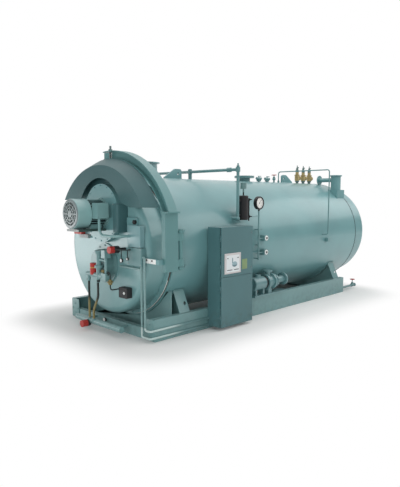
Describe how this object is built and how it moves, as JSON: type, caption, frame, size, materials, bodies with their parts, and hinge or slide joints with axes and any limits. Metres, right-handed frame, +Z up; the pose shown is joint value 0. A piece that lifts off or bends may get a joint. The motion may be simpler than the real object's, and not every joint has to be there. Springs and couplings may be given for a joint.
{
  "type": "industrial fire-tube boiler",
  "caption": "Horizontal fire-tube packaged boiler on a steel skid, with a davit-hung burner head, control cabinet, water column, feed pump, safety valves and flanged steam outlet.",
  "frame": {"origin": "middle of the front crossmember's underside, on the floor", "axes": "+Y along the shell to the rear, +Z up, +X towards the side with the control cabinet"},
  "size_m": [2.488, 6.873, 2.747],
  "materials": {
    "boiler_paint": "satin blue-green enamel",
    "hood_paint": "darker blue-green enamel",
    "brass": "dull cast",
    "red_paint": "satin",
    "black_iron": "dark painted cast iron",
    "dark_plastic": "moulded",
    "hose_rubber": "ribbed",
    "bare_steel": "dull",
    "furnace_steel": "sooty plate",
    "motor_grey": "satin enamel on castings",
    "pale_plate": "pale enamel"
  },
  "bodies": {
    "boiler": {"base_rail_left": "boiler_paint", "base_rail_right": "boiler_paint", "blowdown_line": "boiler_paint", "cabinet_body": "hood_paint", "crown_valves": "bare_steel", "davit_hinge": "bare_steel", "flue_outlet": "boiler_paint", "front_crossmember": "boiler_paint", "front_lifting_lug": "boiler_paint", "front_saddle": "boiler_paint", "front_tubesheet": "bare_steel", "furnace": "furnace_steel", "gas_gauge": "pale_plate", "gas_header": "boiler_paint", "gauge_glass": "black_iron", "gauge_tubing": "bare_steel", "header_actuator": "red_paint", "mounting_plate": "pale_plate", "pressure_gauge": "dark_plastic", "pump_bed": "boiler_paint", "pump_body": "boiler_paint", "pump_motor": "motor_grey", "rail_conduits": "boiler_paint", "rear_crossmember": "boiler_paint", "rear_head": "boiler_paint", "rear_lifting_lug": "boiler_paint", "rear_saddle": "boiler_paint", "safety_valve_1": "brass", "safety_valve_2": "brass", "safety_valve_3": "brass", "sensing_line": "bare_steel", "shell_jacket": "boiler_paint", "steam_cross_pipe": "boiler_paint", "steam_nozzle": "boiler_paint", "vent_stub": "boiler_paint", "water_column": "black_iron"},
    "front_head": {"door_drum": "boiler_paint", "air_hood": "hood_paint", "fan_casing": "hood_paint", "motor_frame": "motor_grey", "motor_cowl": "motor_grey", "terminal_box": "motor_grey", "air_box": "hood_paint", "burner_panel": "hood_paint", "junction_box": "hood_paint", "davit_arm": "boiler_paint", "davit_post": "boiler_paint", "hanger_bolt": "bare_steel", "burner_body": "boiler_paint", "gas_valves": "boiler_paint", "gas_actuators": "red_paint", "gas_hoses": "hose_rubber", "flame_scanner": "dark_plastic", "door_conduits": "boiler_paint", "damper_actuator": "red_paint"},
    "cabinet_upper_leaf": {"cabinet_upper_door": "hood_paint", "operator_screen": "pale_plate"},
    "cabinet_lower_leaf": {"cabinet_lower_door": "hood_paint"},
    "stop_wheel": {"stop_handwheel": "red_paint"},
    "blowdown_wheel": {"blowdown_handwheel": "red_paint"}
  },
  "joints": [
    {"name": "davit_swing", "type": "hinge", "parent": "boiler", "child": "front_head", "pos_m": [1.262, 0.3, 1.2], "axis": [0, 0, 1], "range_deg": [0, 100]},
    {"name": "cabinet_upper_hinge", "type": "hinge", "parent": "boiler", "child": "cabinet_upper_leaf", "pos_m": [1.344, 1.004, 1.17], "axis": [0, 0, -1], "range_deg": [0, 110]},
    {"name": "cabinet_lower_hinge", "type": "hinge", "parent": "boiler", "child": "cabinet_lower_leaf", "pos_m": [1.344, 1.004, 0.42], "axis": [0, 0, -1], "range_deg": [0, 110]},
    {"name": "stop_wheel_turn", "type": "hinge", "parent": "boiler", "child": "stop_wheel", "pos_m": [0, 4.084, 2.4436], "axis": [0, 0, 1], "continuous": true},
    {"name": "blowdown_wheel_turn", "type": "hinge", "parent": "boiler", "child": "blowdown_wheel", "pos_m": [1.03, 5.585, 0.205], "axis": [0, 0, 1], "continuous": true}
  ]
}
